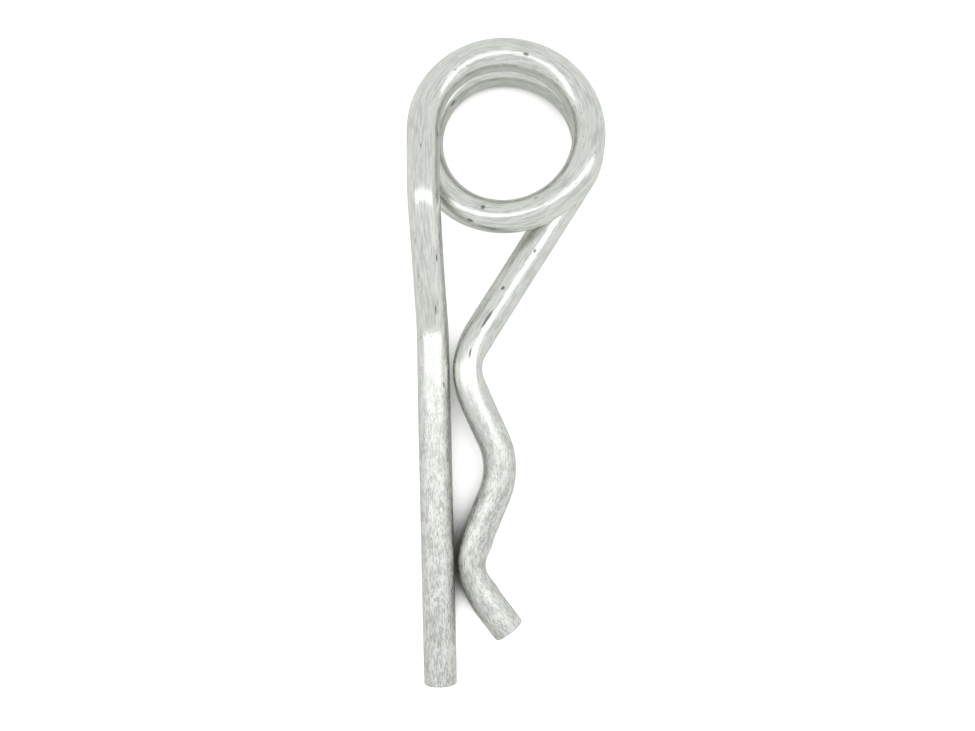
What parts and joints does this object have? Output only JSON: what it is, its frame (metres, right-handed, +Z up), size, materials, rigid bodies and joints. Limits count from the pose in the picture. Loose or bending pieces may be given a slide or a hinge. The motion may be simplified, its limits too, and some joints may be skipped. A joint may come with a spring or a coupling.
{
  "type": "hitch r clip pin",
  "caption": "Hitch R clip pin of round galvanised spring wire: a coiled head, a straight leg for a cross hole and a wavy leg with a flared tip that snaps round the shaft.",
  "frame": {"origin": "below the middle of the bounding box, on the surface the clip lies on", "axes": "+Y from the legs' tips toward the coil, +X from the straight leg toward the wavy leg, +Z up"},
  "size_m": [0.0308, 0.0978, 0.013],
  "materials": {
    "zinc_wire": "galvanised zinc, satin with fine drawn streaks and blotchy spangle toward the tips"
  },
  "bodies": {
    "root": {"r_clip": "zinc_wire"}
  },
  "joints": []
}
